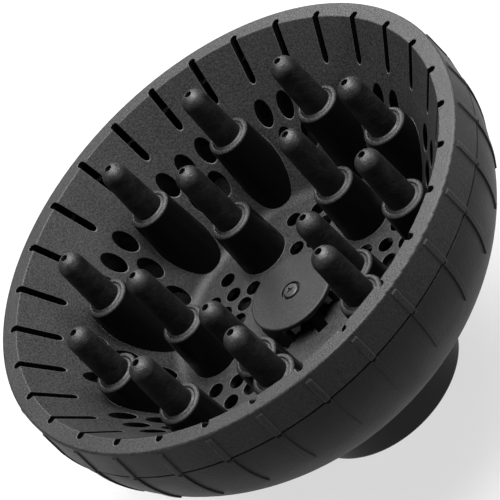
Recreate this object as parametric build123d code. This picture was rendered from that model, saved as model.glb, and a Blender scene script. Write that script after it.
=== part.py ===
from build123d import *
import os
from math import atan, cos, radians, sin, sqrt

# Hair dryer diffuser. The part stands on the rear end of its neck, which is z = 0.
# The bowl faces +Z. The key notch in the bowl's floor is on +X. Millimetres.

# Overall sizes
rim_radius = 75.0            # outer radius of the lip
rim_height = 79.8            # lip face above the rear end of the neck
neck_length = 19.0           # rear end of the neck to where the shell begins
neck_radius = 27.0           # outer radius of the neck

# Walls and fits
wall = 2.0                   # moulded wall of bowl, shell and neck flange
fit = 0.05                   # radial clearance of pieces that seat in one another
gap = 0.15                   # clearance round the tongue of the seam
end_gap = 0.3                # clearance at the end of a tongue or of a screw's pilot hole
overrun = 1.0                # how far a cut runs past the face it goes through
overlap = 0.2                # how far features that are moulded as one reach into each other

# Bowl: lip, cone and floor
lip_width = 5.0
lip_round = 0.6
mouth_round = 0.3            # rounding of the lip's inner edge
floor_depth = 40.4           # floor below the lip face
floor_radius = 42.1          # where the cone meets the floor
floor_fillet = 5.0
opening_radius = 10.0        # air opening in the middle of the floor
key_width = 3.7
key_reach = 14.5
leg_slot_width = 7.3
leg_slot_margin = 1.9        # leg slots beyond the edge of the deflector disc

# Seam between the bowl's band and the rear shell
seam_depth = 10.6            # seam below the lip face
band_growth = 0.3            # how much wider the band is at the seam than at the lip
band_wall = 2.4
seam_chamfer = 0.25
reveal_height = 0.35         # open line of the seam, as seen from outside
reveal_depth = 0.9
tongue_length = 4.0
tongue_wall = 1.6
tongue_lead = 0.5            # chamfer at the tongue's end
tongue_root = 1.5            # tongue's foot above the seam
bead_height = 0.4
bead_drop = 2.6              # bead below the seam

# Grip ribs across the seam
rib_count = 30
rib_width = 1.7
rib_height = 0.45
rib_start_depth = 1.4        # top of a rib below the lip face
rib_end_depth = 28.0         # bottom of a rib below the lip face
rib_root = 1.0               # how deep a rib's root goes into the skin

# Slots through the lip and the top of the cone
slot_count = 30
slot_width = 2.3
slot_down_cone = 7.8         # from the mouth's edge inwards
slot_into_lip = 2.1          # from the mouth's edge outwards

# Air holes: one list of (radius, angle off the middle of the cluster) per cluster
cone_hole_radius = 2.5
cone_cluster = [(57.1, -7.5), (57.1, 0.0), (57.1, 7.5), (51.4, -4.2), (51.4, 4.2), (45.3, 0.0)]
floor_hole_radius = 2.45
floor_cluster = [(34.5, -14.0), (34.5, 0.0), (34.5, 14.0), (28.7, -6.6), (28.7, 6.6),
                 (22.6, -14.2), (22.6, 0.0), (22.6, 14.2)]

# Fingers and the bosses that hold them
outer_count = 10
outer_ring = 50.0
outer_tip_rise = 5.9         # tips of the outer fingers above the lip face
outer_collar_depth = 13.6    # top of an outer boss below the lip face
inner_count = 5
inner_ring = 30.0
inner_tip_rise = 0.0
inner_collar_depth = 23.5
boss_rim = 1.5               # rim of a boss round the bore
boss_draft = 0.06            # growth of a boss's radius per millimetre down
boss_round = 1.1
bore_flare = 0.3             # opening-out of the boss's bore at its collar
boss_wall = 1.6
finger_tip_radius = 3.85
finger_root_radius = 4.4
finger_plug_radius = 5.05
finger_plug_length = 8.0
finger_bore_radius = 2.7
finger_hole_radius = 1.1
finger_tip_wall = 1.4
finger_shoulder = 0.4        # slope between the plug and the bare finger
ledge_thickness = 1.2
ledge_hole_radius = 3.5

# Centre deflector and its screw
disc_radius = 13.3
disc_rise = 6.4              # top of the disc above the floor
disc_thickness = 1.7
disc_round = 0.5
disc_recess_radius = 3.1
disc_recess_depth = 0.9
disc_hub_radius = 6.0
disc_hub_length = 3.4
leg_inset = 0.6              # legs in from the disc's edge
leg_thickness = 2.0
leg_pad_width = 9.2
leg_tab_drop = 3.6           # leg tab below the top of the floor
screw_head_radius = 2.5
screw_head_height = 1.2
screw_shank_radius = 1.45
screw_length = 10.0
screw_point = 0.8            # length of a screw's point
drive_radius = 1.1
drive_width = 0.5
drive_depth = 0.7

# Rear shell
bulge_depth = 8.4            # widest plane of the shell below the lip face
seat_height = 5.5            # flange seat above the place where the shell begins
seat_margin = 4.0            # seat wider than the flange
pillar_offset = 7.0          # circle of the pillars outside the neck's radius
pillar_radius = 3.2

# Neck sleeve
sleeve_wall = 2.5
flange_width = 3.6
stop_depth = 18.5            # how far a dryer's nozzle goes in
stop_width = 1.7
stop_thickness = 2.0
neck_edge_round = 0.8

# Spider that carries the deflector
spider_thickness = 3.0
spider_step = 0.7            # spider's ring narrower than the sleeve's bore
spider_arm_width = 4.0
spider_arm_height = 6.0
gusset_reach = 5.0           # gusset beyond the post
gusset_rise = 4.0            # gusset above the arm
gusset_thickness = 2.0
post_radius = 4.0
ear_radius = 3.6
small_head_radius = 2.3
small_head_height = 1.5
small_shank_radius = 1.2
small_screw_length = 7.0
arm_count = 3
arm_turn = 60.0              # angle of the first arm, leg and ear

# Derived places
mouth_radius = rim_radius - lip_width
floor_z = rim_height - floor_depth
seam_z = rim_height - seam_depth
band_radius = rim_radius + band_growth
cone_slope = (mouth_radius - floor_radius) / floor_depth
cone_angle = atan(cone_slope)
cone_across = wall / cos(cone_angle)
cone_through = cone_across / cone_slope
widest_z = rim_height - bulge_depth
shell_depth = (widest_z - neck_length) / sqrt(1 - (neck_radius / band_radius) ** 2)
seat_z = neck_length + seat_height
flange_top = seat_z + wall
spider_top = flange_top + spider_thickness
disc_top = floor_z + disc_rise
disc_under = disc_top - disc_thickness
post_top = disc_under
tongue_radius = band_radius - wall - gap
pitch_outer = 360 / outer_count
pitch_inner = 360 / inner_count
boss_bore_radius = finger_plug_radius + fit
boss_top_radius = boss_bore_radius + boss_rim
slot_inner_radius = mouth_radius - slot_down_cone
slot_outer_radius = mouth_radius + slot_into_lip
flange_radius = neck_radius + flange_width
pillar_circle = neck_radius + pillar_offset
spider_inner_radius = neck_radius - sleeve_wall - spider_step


def cone_front_z(radius):
    """Height of the cone's front face at a radius."""
    return floor_z + (radius - floor_radius) / cone_slope


def cone_back_radius(z):
    """Radius of the cone's rear face at a height."""
    return floor_radius + (z - floor_z) * cone_slope + cone_across


def turned(points, rounds=()):
    """Solid of revolution of a closed (radius, z) outline, with some corners rounded."""
    face = make_face(Polyline(*points, close=True))
    for corner, radius in rounds:
        vertex = face.vertices().sort_by_distance((corner[0], corner[1], 0))[0]
        face = fillet(vertex, radius)
    return revolve(Plane.XZ * face, Axis.Z)


def around(radius, angle, z, piece):
    """The piece moved out to a radius, turned to an angle and lifted to a height."""
    return Rot(0, 0, angle) * Pos(radius, 0, z) * piece


def upright(radius, bottom, top):
    """Cylinder on the axis between two heights."""
    return Pos(0, 0, bottom) * Cylinder(radius, top - bottom, align=(Align.CENTER, Align.CENTER, Align.MIN))


def bar(x0, x1, width, bottom, top):
    """Block along +X, centred on the X axis, between two heights."""
    return Pos((x0 + x1) / 2, 0, (bottom + top) / 2) * Box(x1 - x0, width, top - bottom)


def half_ellipsoid(radial, depth):
    """Lower half of an ellipsoid of revolution whose widest plane is widest_z."""
    arc = EllipticalCenterArc((0, widest_z), radial, depth, start_angle=270, arc_size=90)
    side = Line((radial, widest_z), (0, widest_z))
    axis_line = Line((0, widest_z), (0, widest_z - depth))
    return revolve(Plane.XZ * make_face([arc, side, axis_line]), Axis.Z)


# ---------------------------------------------------------------- front bowl

def bowl_skin():
    """Lip, outer band, cone and floor as one turned skin."""
    back_z = rim_height - wall
    floor_back = floor_z - wall
    band_inner = band_radius - band_wall
    outline = [
        (mouth_radius, rim_height),
        (rim_radius, rim_height),
        (band_radius, seam_z + seam_chamfer),
        (band_radius - seam_chamfer, seam_z),
        (band_inner, seam_z),
        (band_inner, back_z),
        (cone_back_radius(back_z), back_z),
        (cone_back_radius(floor_back), floor_back),
        (opening_radius, floor_back),
        (opening_radius, floor_z),
        (floor_radius, floor_z),
    ]
    rounds = [
        ((rim_radius, rim_height), lip_round),
        ((mouth_radius, rim_height), mouth_round),
        ((floor_radius, floor_z), floor_fillet),
        ((cone_back_radius(floor_back), floor_back), floor_fillet + wall),
    ]
    return turned(outline, rounds)


def bowl_tongue():
    """Ring inside the band that slides into the shell, with its snap bead."""
    bottom = seam_z - tongue_length
    band_inner = band_radius - band_wall
    inner = tongue_radius - tongue_wall
    bead_z = seam_z - bead_drop
    return turned([
        (inner, bottom),
        (tongue_radius - tongue_lead, bottom),
        (tongue_radius, bottom + tongue_lead),
        (tongue_radius, bead_z - bead_height),
        (tongue_radius + bead_height, bead_z),
        (tongue_radius, bead_z + bead_height),
        (tongue_radius, seam_z + gap),
        (band_inner + overlap, seam_z + tongue_root),
        (inner, seam_z + tongue_root),
    ])


def boss_blank(top):
    """Tapered post with a rounded top, long enough to reach through the bowl's wall."""
    bottom = floor_z - wall
    base_radius = boss_top_radius + boss_draft * (top - bottom)
    outline = [(0, bottom), (base_radius, bottom), (boss_top_radius, top), (0, top)]
    return turned(outline, [((boss_top_radius, top), boss_round)])


def boss_core(top):
    """Everything that is hollow in a boss: plug bore, ledge hole and draught-tapered rear."""
    ledge_top = top - finger_plug_length
    ledge_bottom = ledge_top - ledge_thickness
    bottom = floor_z - wall - overrun
    rear_top = boss_top_radius + boss_draft * (top - ledge_bottom) - boss_wall
    rear_base = boss_top_radius + boss_draft * (top - bottom) - boss_wall
    return turned([
        (0, bottom),
        (rear_base, bottom),
        (rear_top, ledge_bottom),
        (ledge_hole_radius, ledge_bottom),
        (ledge_hole_radius, ledge_top),
        (boss_bore_radius, ledge_top),
        (boss_bore_radius, top - bore_flare),
        (boss_bore_radius + bore_flare, top),
        (boss_bore_radius + bore_flare, top + overrun),
        (0, top + overrun),
    ])


def bowl_front_space():
    """All that lies in front of the rear face of the cone and the floor."""
    floor_back = floor_z - wall
    back_z = rim_height - wall
    corner = (cone_back_radius(floor_back), floor_back)
    outline = [(0, floor_back), corner, (cone_back_radius(back_z), back_z), (0, back_z)]
    return turned(outline, [(corner, floor_fillet + wall)])


def finger_places():
    """Ring radius, angle, collar height and tip height of every finger."""
    places = []
    for k in range(outer_count):
        angle = pitch_outer / 2 + k * pitch_outer
        collar = rim_height - outer_collar_depth
        places.append((f"finger_outer_{k + 1:02d}", outer_ring, angle, collar, rim_height + outer_tip_rise))
    for k in range(inner_count):
        angle = pitch_inner / 2 + k * pitch_inner
        collar = rim_height - inner_collar_depth
        places.append((f"finger_inner_{k + 1}", inner_ring, angle, collar, rim_height + inner_tip_rise))
    return places


def cone_holes():
    """Round holes drilled parallel to the axis through the cone, ten clusters of six."""
    cutters = []
    for k in range(outer_count):
        for radius, off in cone_cluster:
            low = cone_front_z(radius - cone_hole_radius) - cone_through - overrun
            high = cone_front_z(radius + cone_hole_radius) + overrun
            cutters.append(around(radius, k * pitch_outer + off, 0, upright(cone_hole_radius, low, high)))
    return cutters


def floor_holes():
    """Round holes through the floor, five clusters of eight."""
    cutters = []
    for k in range(inner_count):
        for radius, off in floor_cluster:
            pin = upright(floor_hole_radius, floor_z - wall - overrun, floor_z + overrun)
            cutters.append(around(radius, k * pitch_inner + off, 0, pin))
    return cutters


def lip_slots():
    """Radial slots with round ends through the lip's inner edge and the top of the cone."""
    half = slot_width / 2
    low = cone_front_z(slot_inner_radius) - cone_through - overrun
    high = rim_height + overrun
    middle = bar(slot_inner_radius + half, slot_outer_radius - half, slot_width, low, high)
    inner_end = Pos(slot_inner_radius + half, 0, 0) * upright(half, low, high)
    outer_end = Pos(slot_outer_radius - half, 0, 0) * upright(half, low, high)
    slot = middle + inner_end + outer_end
    pitch = 360 / slot_count
    return [Rot(0, 0, pitch / 2 + k * pitch) * slot for k in range(slot_count)]


def floor_notches():
    """Key notch on +X and the three wider slots for the deflector's legs."""
    low = floor_z - wall - overrun
    high = floor_z + overrun
    cutters = [bar(0, key_reach, key_width, low, high)]
    for k in range(arm_count):
        leg_slot = bar(0, disc_radius + leg_slot_margin, leg_slot_width, low, high)
        cutters.append(Rot(0, 0, arm_turn + k * 360 / arm_count) * leg_slot)
    return cutters


def ribs(envelope, bottom, top):
    """Grip ribs: radial bars trimmed to an envelope just outside the skin."""
    pitch = 360 / rib_count
    inner = cone_back_radius(bottom)
    outer = band_radius + rib_height + overrun
    bars = [Rot(0, 0, pitch / 2 + k * pitch) * bar(inner, outer, rib_width, bottom, top)
            for k in range(rib_count)]
    return [envelope & one for one in bars]


def band_ribs():
    """The part of each rib that is on the bowl's band."""
    bottom = seam_z
    top = rim_height - rib_start_depth
    inner = band_radius - rib_root
    envelope = turned([
        (inner, bottom),
        (band_radius + rib_height - seam_chamfer, bottom),
        (band_radius + rib_height, bottom + seam_chamfer),
        (rim_radius + rib_height, top - rib_height),
        (rim_radius, top),
        (inner, top),
    ])
    return ribs(envelope, bottom, top)


def front_bowl():
    """Perforated bowl with its lip, band, tongue and the bosses of all the fingers."""
    bosses = []
    cores = []
    for _, ring, angle, collar, _ in finger_places():
        bosses.append(around(ring, angle, 0, boss_blank(collar)))
        cores.append(around(ring, angle, 0, boss_core(collar)))
    front = bowl_front_space()
    body = bowl_skin() + bowl_tongue()
    body = body + [front & boss for boss in bosses] + band_ribs()
    return body - cores - cone_holes() - floor_holes() - lip_slots() - floor_notches()


# ------------------------------------------------------------------- fingers

def finger(collar, tip):
    """Hollow pin with a domed tip, an air hole and the plug that seats in its boss."""
    plug_bottom = collar - finger_plug_length
    bore_top = tip - finger_tip_radius
    dome_side = (finger_tip_radius, tip - finger_tip_radius)
    hole_rise = sqrt(finger_tip_radius ** 2 - finger_hole_radius ** 2)
    dome_end = (finger_hole_radius, tip - finger_tip_radius + hole_rise)
    bend = finger_tip_radius * sin(radians(45))
    dome_mid = (bend, tip - finger_tip_radius + bend)
    lines = [
        Line((finger_bore_radius, plug_bottom), (finger_plug_radius, plug_bottom)),
        Line((finger_plug_radius, plug_bottom), (finger_plug_radius, collar - finger_shoulder)),
        Line((finger_plug_radius, collar - finger_shoulder), (finger_root_radius, collar)),
        Line((finger_root_radius, collar), dome_side),
        ThreePointArc(dome_side, dome_mid, dome_end),
        Line(dome_end, (finger_hole_radius, tip - finger_tip_wall)),
        Line((finger_hole_radius, tip - finger_tip_wall), (finger_bore_radius, bore_top)),
        Line((finger_bore_radius, bore_top), (finger_bore_radius, plug_bottom)),
    ]
    return revolve(Plane.XZ * make_face(lines), Axis.Z)


# ----------------------------------------------------------------- deflector

def deflector_disc():
    """Round plate over the air opening, on three legs that rest on the floor."""
    plate = upright(disc_radius, disc_under, disc_top)
    plate = fillet(plate.edges().filter_by(GeomType.CIRCLE), disc_round)
    hub = upright(disc_hub_radius, disc_under - disc_hub_length, disc_under + overlap)
    body = plate + hub
    leg_outer = disc_radius - leg_inset
    leg_inner = leg_outer - leg_thickness
    for k in range(arm_count):
        pad = bar(leg_inner, leg_outer, leg_pad_width, floor_z, disc_under + overlap)
        tab = bar(leg_inner, leg_outer, leg_slot_width - 2 * gap, floor_z - leg_tab_drop, floor_z)
        body = body + Rot(0, 0, arm_turn + k * 360 / arm_count) * (pad + tab)
    socket = upright(post_radius + fit, disc_under - disc_hub_length - overrun, post_top)
    recess = upright(disc_recess_radius, disc_top - disc_recess_depth, disc_top + overrun)
    hole = upright(screw_shank_radius + fit, disc_under - overrun, disc_top + overrun)
    return body - socket - recess - hole


def pan_screw(head_radius, head_height, shank_radius, length):
    """Pan-head screw with its head's underside at z = 0 and its shank along -Z."""
    head = upright(head_radius, 0, head_height)
    head = fillet(head.edges().filter_by(GeomType.CIRCLE).sort_by(Axis.Z)[-1], head_height / 2)
    shank = upright(shank_radius, screw_point - length, 0)
    point = Pos(0, 0, screw_point / 2 - length) * Cone(shank_radius / 2, shank_radius, screw_point)
    blade = Pos(0, 0, head_height) * Box(2 * drive_radius, drive_width, 2 * drive_depth)
    cross = blade + Rot(0, 0, 90) * blade
    return head + shank + point - cross


def deflector_screw():
    """Screw in the middle of the deflector, into the spider's post."""
    screw = pan_screw(screw_head_radius, screw_head_height, screw_shank_radius, screw_length)
    return Pos(0, 0, disc_top - disc_recess_depth) * screw


# ---------------------------------------------------------------- rear shell

def shell_ribs():
    """The part of each rib that runs down the shell, faded out at its lower end."""
    skin_depth = shell_depth + rib_height
    root = half_ellipsoid(band_radius - rib_root, shell_depth - rib_root)
    envelope = half_ellipsoid(band_radius + rib_height, skin_depth) - root
    bottom = rim_height - rib_end_depth
    return ribs(envelope, bottom, seam_z)


def rear_shell():
    """Bulging rear housing from the seam to the neck, with the flange seat and pillars."""
    outer = half_ellipsoid(band_radius, shell_depth)
    hollow = half_ellipsoid(band_radius - wall, shell_depth - wall)
    pad = outer & upright(flange_radius + seat_margin, 0, seat_z)
    pillars = []
    for k in range(arm_count):
        pillar = around(pillar_circle, arm_turn + k * 360 / arm_count, 0,
                        upright(pillar_radius, 0, flange_top))
        pillars.append(outer & pillar)
    bore = upright(neck_radius + fit, 0, seat_z + overrun)
    pilots = []
    for k in range(arm_count):
        pilot = upright(small_shank_radius, spider_top - small_screw_length - end_gap, flange_top + overrun)
        pilots.append(around(pillar_circle, arm_turn + k * 360 / arm_count, 0, pilot))
    body = outer - hollow + pad + pillars - bore - pilots + shell_ribs()
    above_seam = upright(band_radius + overrun, seam_z, rim_height)
    edge = turned([
        (band_radius - reveal_depth, seam_z),
        (band_radius - reveal_depth, seam_z - reveal_height),
        (band_radius - seam_chamfer, seam_z - reveal_height),
        (band_radius + overrun, seam_z - reveal_height - seam_chamfer - overrun),
        (band_radius + overrun, seam_z)])
    rebate = upright(tongue_radius + gap, seam_z - tongue_length - end_gap, seam_z + overrun)
    bead_z = seam_z - bead_drop
    groove_reach = bead_height + fit
    groove = turned([
        (tongue_radius, bead_z - 2 * groove_reach - gap),
        (tongue_radius + gap + groove_reach, bead_z),
        (tongue_radius, bead_z + 2 * groove_reach + gap)])
    return body - above_seam - (edge + rebate + groove)


# --------------------------------------------------------------- neck sleeve

def neck_sleeve():
    """Glossy sleeve that a dryer's nozzle goes into, with its flange and nozzle stop."""
    inner = neck_radius - sleeve_wall
    outline = [
        (inner, 0),
        (neck_radius, 0),
        (neck_radius, seat_z),
        (flange_radius, seat_z),
        (flange_radius, flange_top),
        (inner - stop_width, flange_top),
        (inner - stop_width, stop_depth),
        (inner, stop_depth),
    ]
    rounds = [((neck_radius, 0), neck_edge_round), ((inner, 0), neck_edge_round)]
    sleeve = turned(outline, rounds)
    clear_top = upright(inner, stop_depth + stop_thickness, flange_top + overrun)
    return sleeve - clear_top


# -------------------------------------------------------------------- spider

def hub_spider():
    """Ring with three arms and the central post that carries the deflector."""
    inner = spider_inner_radius
    ring = turned([(inner, flange_top), (flange_radius, flange_top),
                   (flange_radius, spider_top), (inner, spider_top)])
    body = ring + upright(post_radius, flange_top, post_top)
    for k in range(arm_count):
        turn = Rot(0, 0, arm_turn + k * 360 / arm_count)
        arm_top = flange_top + spider_arm_height
        arm = bar(0, inner + overlap, spider_arm_width, flange_top, arm_top)
        gusset_face = make_face(Polyline(
            (0, arm_top - overlap),
            (post_radius + gusset_reach, arm_top - overlap),
            (post_radius, arm_top + gusset_rise),
            (0, arm_top + gusset_rise),
            close=True))
        gusset = extrude(Plane.XZ * gusset_face, amount=gusset_thickness / 2, both=True)
        ear = Pos(pillar_circle, 0, 0) * upright(ear_radius, flange_top, spider_top)
        web = bar(flange_radius - overlap, pillar_circle, 2 * ear_radius, flange_top, spider_top)
        shank_hole = upright(small_shank_radius + fit, flange_top - overrun, spider_top + overrun)
        hole = Pos(pillar_circle, 0, 0) * shank_hole
        body = body + turn * (arm + gusset + ear + web) - turn * hole
    screw_end = disc_top - disc_recess_depth - screw_length
    pilot = upright(screw_shank_radius, screw_end - end_gap, post_top + overrun)
    return body - pilot


def spider_screws():
    """The three screws that clamp the spider and the sleeve's flange to the shell."""
    screw = pan_screw(small_head_radius, small_head_height, small_shank_radius, small_screw_length)
    return [around(pillar_circle, arm_turn + k * 360 / arm_count, spider_top, screw)
            for k in range(arm_count)]


# --------------------------------------------------------------------- write

def nodes():
    """Every piece of the diffuser by its name."""
    pieces = {
        "front_bowl": front_bowl(),
        "rear_shell": rear_shell(),
        "neck_sleeve": neck_sleeve(),
        "hub_spider": hub_spider(),
        "deflector_disc": deflector_disc(),
        "deflector_screw": deflector_screw(),
        "spider_screws": Compound(children=spider_screws()),
    }
    for name, ring, angle, collar, tip in finger_places():
        pieces[name] = around(ring, angle, 0, finger(collar, tip))
    return pieces


os.makedirs("parts", exist_ok=True)
for node, piece in nodes().items():
    export_step(piece, f"parts/{node}.step")
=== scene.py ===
import bpy
import numpy as np
from mathutils import Matrix, Vector

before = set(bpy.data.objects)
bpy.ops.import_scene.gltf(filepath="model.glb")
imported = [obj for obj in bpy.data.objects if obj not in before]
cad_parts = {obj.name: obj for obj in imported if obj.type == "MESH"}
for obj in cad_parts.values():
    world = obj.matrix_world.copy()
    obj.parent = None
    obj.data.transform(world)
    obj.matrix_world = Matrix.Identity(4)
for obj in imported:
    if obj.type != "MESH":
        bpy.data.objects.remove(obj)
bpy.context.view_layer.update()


# ---- Neck sleeve
# The round neck that a dryer's nozzle is pushed into. It is a separate moulding in
# polished black plastic, clamped by its flange between the shell and the spider.
neck_grey = 0.003
neck_roughness = 0.16
neck_sheen = 0.2
neck_ripple = 0.000003
neck_edge = 0.0004
ripple_size = 0.0007         # fine ripples of a polished moulding
gloss_patch = 0.0035         # patches in which its gloss varies
patch_relief = 3             # how many times as high as the ripples the patches stand
glossy_share = 0.75          # roughness of the glossiest patches, as a share of the mean
dull_share = 1.3             # and of the dullest
noise_low, noise_high = 0.3, 0.7    # most of a noise lies between these
edge_samples = 6
edge_cosine = 0.72           # normals 44 degrees apart: fully an edge
flat_cosine = 0.97           # normals 14 degrees apart: no edge yet


def start_finish(name):
    """An empty finish: its node tree, its shader and its object coordinates."""
    mat = bpy.data.materials.new(name)
    mat.use_nodes = True
    tree = mat.node_tree
    tree.nodes.clear()
    out = tree.nodes.new("ShaderNodeOutputMaterial")
    skin = tree.nodes.new("ShaderNodeBsdfPrincipled")
    tree.links.new(skin.outputs["BSDF"], out.inputs["Surface"])
    place = tree.nodes.new("ShaderNodeTexCoord")
    return mat, tree, skin, place


def speckle(tree, place, size, detail=3, octave_share=0.62):
    """Noise whose grains are about one size, in metres, in object coordinates."""
    noise = tree.nodes.new("ShaderNodeTexNoise")
    noise.inputs["Scale"].default_value = 1 / size
    noise.inputs["Detail"].default_value = detail
    noise.inputs["Roughness"].default_value = octave_share
    tree.links.new(place.outputs["Object"], noise.inputs["Vector"])
    return noise.outputs["Fac"]


def ramp(tree, value, low, high, to_low, to_high):
    """Straight line from (low, to_low) to (high, to_high), flat beyond both."""
    line = tree.nodes.new("ShaderNodeMapRange")
    limits = {"From Min": low, "From Max": high, "To Min": to_low, "To Max": to_high}
    for name, number in limits.items():
        line.inputs[name].default_value = number
    tree.links.new(value, line.inputs["Value"])
    return line.outputs["Result"]


def calc(tree, operation, *values):
    """One math node; each value is a number or another node's output."""
    node = tree.nodes.new("ShaderNodeMath")
    node.operation = operation
    for socket, value in zip(node.inputs, values):
        if isinstance(value, (int, float)):
            socket.default_value = value
        else:
            tree.links.new(value, socket)
    return node.outputs[0]


def cool_black(grey, blue):
    """Linear colour of a black plastic, with its own share of blue."""
    return (grey, grey, blue)


def tint(tree, share, first, second):
    """Colour between two others, each an (r, g, b) or another node's output."""
    mix = tree.nodes.new("ShaderNodeMix")
    mix.data_type = "RGBA"
    for socket, colour in ((mix.inputs[6], first), (mix.inputs[7], second)):
        if isinstance(colour, tuple):
            socket.default_value = (*colour, 1)
        else:
            tree.links.new(colour, socket)
    tree.links.new(share, mix.inputs[0])
    return mix.outputs[2]


def turn_edges(tree, radius):
    """Normals over edges turned with a small radius, and how far each place is part of an edge:
    the cosine between turned and flat normal, made 0 on flat faces and 1 on edges."""
    turned = tree.nodes.new("ShaderNodeBevel")
    turned.samples = edge_samples
    turned.inputs["Radius"].default_value = radius
    sharp = tree.nodes.new("ShaderNodeNewGeometry")
    across = tree.nodes.new("ShaderNodeVectorMath")
    across.operation = "DOT_PRODUCT"
    tree.links.new(turned.outputs["Normal"], across.inputs[0])
    tree.links.new(sharp.outputs["Normal"], across.inputs[1])
    edge = ramp(tree, across.outputs["Value"], edge_cosine, flat_cosine, 1, 0)
    return turned.outputs["Normal"], edge


def relief(tree, skin, height, depth, turned):
    """Bumps the surface by a height, over normals that already have turned edges."""
    bump = tree.nodes.new("ShaderNodeBump")
    bump.inputs["Distance"].default_value = depth
    tree.links.new(height, bump.inputs["Height"])
    tree.links.new(turned, bump.inputs["Normal"])
    tree.links.new(bump.outputs["Normal"], skin.inputs["Normal"])


def dress(node, mat):
    """Puts a finish on a CAD node, in every one of its material slots."""
    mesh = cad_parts[node].data
    if not mesh.materials:
        mesh.materials.append(mat)
    for k in range(len(mesh.materials)):
        mesh.materials[k] = mat


def smooth_black(name, grey, roughness, sheen, ripple, edge_radius):
    """Black with faint ripples, a gloss that varies in patches of a few millimetres, and a
    painted highlight on its edges, whose colour is a little lighter."""
    mat, tree, skin, place = start_finish(name)
    skin.inputs["Specular IOR Level"].default_value = sheen
    patches = speckle(tree, place, gloss_patch, detail=5)
    fine = speckle(tree, place, ripple_size)
    turned, edge = turn_edges(tree, edge_radius)
    dark = cool_black(0.5 * grey, 0.52 * grey)
    light = cool_black(1.5 * grey, 1.55 * grey)
    # painted highlight: edges, convex and concave alike, get a lighter colour
    edge_highlight = cool_black(3 * grey, 3.1 * grey)
    mottled = tint(tree, patches, dark, light)
    tree.links.new(tint(tree, edge, mottled, edge_highlight), skin.inputs["Base Color"])
    glossy, dull = roughness * glossy_share, roughness * dull_share
    gloss = ramp(tree, patches, noise_low, noise_high, glossy, dull)
    tree.links.new(gloss, skin.inputs["Roughness"])
    height = calc(tree, "ADD", fine, calc(tree, "MULTIPLY", patches, patch_relief))
    relief(tree, skin, height, ripple, turned)
    return mat


neck_black = smooth_black(
    "neck_polished_black", neck_grey, neck_roughness, neck_sheen, neck_ripple, neck_edge)
dress("neck_sleeve", neck_black)


# ---- Rear shell
# The bulging housing from the seam to the neck, moulded in charcoal plastic in a
# spark-textured mould. The bowl snaps into its front edge.
shell_grey = 0.003
shell_grain_depth = 0.00012
shell_edge = 0.0003
grain_size = 0.0006
grain_patch = 0.018          # patches in which the surface is more or less matte
grain_low, grain_high = 0.35, 0.65  # noise in the darkest grains, and in the lightest
grain_index = 1.15           # plastic has about 1.5; less keeps the glowing floor off the shell
grain_sheen = 0.85
matte_low, matte_high = 0.44, 0.54  # roughness of the least and of the most matte patches


def textured_black(name, grey, depth, edge_radius):
    """Black from a spark-textured mould: matte, with a fine grain that scatters light, patches
    that are a little more matte, and a painted highlight on its edges, whose colour is lighter."""
    mat, tree, skin, place = start_finish(name)
    skin.inputs["IOR"].default_value = grain_index
    skin.inputs["Specular IOR Level"].default_value = grain_sheen
    patches = speckle(tree, place, grain_patch, detail=4)
    fine = speckle(tree, place, grain_size)
    turned, edge = turn_edges(tree, edge_radius)
    grains = ramp(tree, fine, grain_low, grain_high, 0, 1)
    dark = cool_black(0.6 * grey, 0.62 * grey)
    light = cool_black(1.4 * grey, 1.43 * grey)
    # painted highlight: edges, convex and concave alike, get a lighter colour
    edge_highlight = cool_black(3.5 * grey, 3.6 * grey)
    mottled = tint(tree, grains, dark, light)
    tree.links.new(tint(tree, edge, mottled, edge_highlight), skin.inputs["Base Color"])
    matte = ramp(tree, patches, noise_low, noise_high, matte_low, matte_high)
    tree.links.new(matte, skin.inputs["Roughness"])
    relief(tree, skin, fine, depth, turned)
    return mat


shell_black = textured_black("shell_grained_black", shell_grey, shell_grain_depth, shell_edge)
dress("rear_shell", shell_black)


# ---- Front bowl
# Lip, cone, floor, band and bosses in one moulding. Its faces come from spark-textured steel. The
# bosses, the holes and the slots come from polished core pins, so they are smoother; their darker
# colour on these steep, side-facing faces is partly that polish and partly painted shade.
cored_radius = 0.0735        # the core pins stand inside this radius
steep_low, steep_high = 0.3, 0.5    # upward part of the normal: a pin's side, a grained face
front_low, front_high = -0.05, 0.0  # upward part of the normal: faces behind, faces in front
cored_polish = 0.16          # how much less rough a cored face is
cored_flatness = 0.94        # share of the grain that it lacks
dark_grain = cool_black(0.003, 0.0031)
light_grain = cool_black(0.0112, 0.0115)
# partly painted shade: colour of the steep, side-facing cored faces, much darker than the grain
polish_and_shade_black = cool_black(0.0012, 0.0013)
# painted highlight: the colour of the light line on the bowl's front edges
edge_highlight_black = cool_black(0.034, 0.0345)
bowl_grain_depth = 0.0001
bowl_edge = 0.00045


def cored_faces(tree, upward, place):
    """1 on steep faces inside the radius of the core pins, and 0 elsewhere. The radius is the
    square root of x squared plus y squared."""
    steep = ramp(tree, calc(tree, "ABSOLUTE", upward), steep_low, steep_high, 1, 0)
    parts = tree.nodes.new("ShaderNodeSeparateXYZ")
    tree.links.new(place.outputs["Object"], parts.inputs["Vector"])
    x2 = calc(tree, "MULTIPLY", parts.outputs["X"], parts.outputs["X"])
    y2 = calc(tree, "MULTIPLY", parts.outputs["Y"], parts.outputs["Y"])
    radius = calc(tree, "SQRT", calc(tree, "ADD", x2, y2))
    return calc(tree, "MULTIPLY", steep, calc(tree, "LESS_THAN", radius, cored_radius))


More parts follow.
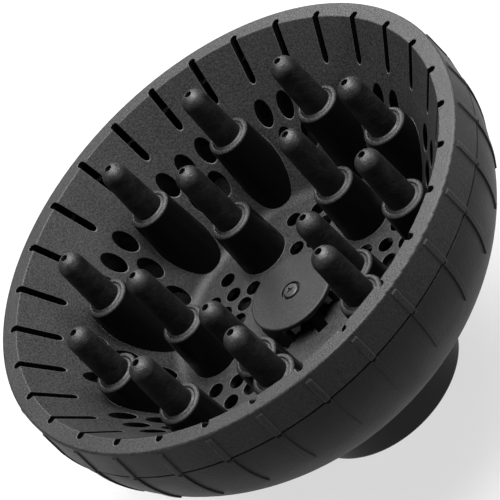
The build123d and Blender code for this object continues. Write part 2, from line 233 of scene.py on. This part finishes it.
def bowl_finish(name):
    """Grained black; on the cored faces smooth, and darker in colour, partly for their polish and
    partly as painted shade; with a painted highlight as a light line on front edges.
    """
    mat, tree, skin, place = start_finish(name)
    skin.inputs["IOR"].default_value = grain_index
    skin.inputs["Specular IOR Level"].default_value = grain_sheen
    normal_parts = tree.nodes.new("ShaderNodeSeparateXYZ")
    tree.links.new(place.outputs["Normal"], normal_parts.inputs["Vector"])
    upward = normal_parts.outputs["Z"]
    cored = cored_faces(tree, upward, place)
    fine = speckle(tree, place, grain_size)
    patches = speckle(tree, place, grain_patch, detail=4)
    turned, edge = turn_edges(tree, bowl_edge)
    matte = ramp(tree, patches, noise_low, noise_high, matte_low, matte_high)
    polish = calc(tree, "MULTIPLY", cored, cored_polish)
    tree.links.new(calc(tree, "SUBTRACT", matte, polish), skin.inputs["Roughness"])
    grains = ramp(tree, fine, grain_low, grain_high, 0, 1)
    # partly painted shade: steep faces inside the pins' radius take the darker cored colour
    moulded = tint(tree, cored, tint(tree, grains, dark_grain, light_grain), polish_and_shade_black)
    front = ramp(tree, upward, front_low, front_high, 0, 1)
    # painted highlight: a light line on the edges of faces in front
    front_edge_highlight = calc(tree, "MULTIPLY", edge, front)
    tree.links.new(tint(tree, front_edge_highlight, moulded, edge_highlight_black), skin.inputs["Base Color"])
    flatness = calc(tree, "MULTIPLY", cored, cored_flatness)
    grain_left = calc(tree, "SUBTRACT", 1, flatness)
    relief(tree, skin, calc(tree, "MULTIPLY", fine, grain_left), bowl_grain_depth, turned)
    return mat


dress("front_bowl", bowl_finish("bowl_grained_black"))


# ---- Fingers
# Fifteen hollow fingers, ten in the outer ring and five in the inner, that lift the hair
# and blow air at its roots. They are moulded in black plastic with a satin skin, and each
# is pushed into a boss of the bowl.
finger_grey = 0.002
finger_roughness = 0.52
finger_sheen = 0.16
finger_ripple = 0.00011
finger_edge = 0.0002

finger_black = smooth_black(
    "finger_satin_black", finger_grey, finger_roughness, finger_sheen, finger_ripple, finger_edge)
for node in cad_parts:
    if node.startswith("finger"):
        dress(node, finger_black)


# ---- Deflector disc
# A round plate over the air opening in the middle, on three legs, that turns the air
# outwards. It is moulded in black plastic with a finer grain than the bowl's.
disc_grey = 0.0045
disc_grain_depth = 0.00006
disc_edge = 0.0004

disc_black = textured_black("disc_satin_black", disc_grey, disc_grain_depth, disc_edge)
dress("deflector_disc", disc_black)


# ---- Hub spider
# A ring with three arms and a post, moulded in the same plastic as the disc. It is screwed
# to the shell inside, where it clamps the neck's flange, and the disc is screwed to its post.
dress("hub_spider", disc_black)


# ---- Screws
# Blackened steel. One in the middle holds the disc to the spider's post, and three hold
# the spider to the shell.
screw_grey = 0.003
screw_roughness = 0.5
screw_sheen = 0.2
screw_ripple = 0.00001
screw_edge = 0.0002

screw_black = smooth_black(
    "screw_black_steel", screw_grey, screw_roughness, screw_sheen, screw_ripple, screw_edge)
dress("deflector_screw", screw_black)
dress("spider_screws", screw_black)


# ---- Studio floor
# A wide flat sheet that the neck stands on. Its own colour is dark, so that the strong
# lights don't bounce off it onto the object, and an even glow makes it look pale.
floor_reach = 2.5
sheet_grey = 0.045
sheet_roughness = 0.9
sheet_glow = 0.66

floor_mesh = bpy.data.meshes.new("floor")
side = np.linspace(-floor_reach, floor_reach, 2)
across, along = np.meshgrid(side, side, indexing="ij")
corners = np.stack([across.ravel(), along.ravel(), np.zeros(4)], 1)
floor_mesh.from_pydata(corners.tolist(), [], [(0, 2, 3, 1)])
floor = bpy.data.objects.new("floor", floor_mesh)
bpy.context.scene.collection.objects.link(floor)

paper = bpy.data.materials.new("floor_paper")
paper.use_nodes = True
sheet = paper.node_tree.nodes["Principled BSDF"]
sheet.inputs["Base Color"].default_value = (sheet_grey, sheet_grey, sheet_grey, 1)
sheet.inputs["Roughness"].default_value = sheet_roughness
sheet.inputs["Emission Color"].default_value = (1, 1, 1, 1)
sheet.inputs["Emission Strength"].default_value = sheet_glow
floor_mesh.materials.append(paper)


# ---- Studio light
# Square soft lights above, behind and on two sides, and a faint even light from the room.
# Their sizes are in metres and their strengths in watts.
room_light = 0.1
bowl_middle = (0, 0, 0.06)

world = bpy.data.worlds.new("studio")
bpy.context.scene.world = world
world.use_nodes = True
room = world.node_tree.nodes["Background"]
room.inputs["Color"].default_value = (1, 1, 1, 1)
room.inputs["Strength"].default_value = room_light


def softbox(name, place, aim, size, watts):
    """Square light, turned so that it shines from its place to its aim."""
    lamp = bpy.data.lights.new(name, "AREA")
    lamp.shape = "RECTANGLE"
    lamp.size = size
    lamp.size_y = size
    lamp.energy = watts
    box = bpy.data.objects.new(name, lamp)
    aimed = (Vector(aim) - Vector(place)).to_track_quat("-Z", "Y").to_matrix().to_4x4()
    box.matrix_world = Matrix.Translation(place) @ aimed
    bpy.context.scene.collection.objects.link(box)


softbox("softbox_top", (0.0, 0.0, 1.45), bowl_middle, size=1.1, watts=80)
softbox("softbox_top_right", (-0.1, 0.6, 1.3), bowl_middle, size=0.8, watts=90)
softbox("softbox_behind", (-0.5, 0.2, 0.52), (0, 0.02, 0.07), size=0.36, watts=9.5)
softbox("softbox_right", (0.8, 0.9, 0.5), bowl_middle, size=0.6, watts=8)
softbox("softbox_left", (0.0, -1.25, 0.5), bowl_middle, size=0.7, watts=5)


# ---- Camera
# Above the bowl and to one side of it, with a long lens, and rolled an eighth of a turn
# about its own axis.
focal_length = 218.18
camera_place = (0.66836, 0.0465, 0.55861)
camera_look = Vector((-0.803463, -0.055902, -0.592724))
camera_roll = np.radians(-45.03)

lens = bpy.data.cameras.new("camera")
lens.lens = focal_length
camera = bpy.data.objects.new("camera", lens)
level = camera_look.to_track_quat("-Z", "Y").to_matrix().to_4x4()
turn = level @ Matrix.Rotation(camera_roll, 4, "Z")
camera.matrix_world = Matrix.Translation(camera_place) @ turn
bpy.context.scene.collection.objects.link(camera)
bpy.context.scene.camera = camera
bpy.context.scene.view_settings.view_transform = "Standard"
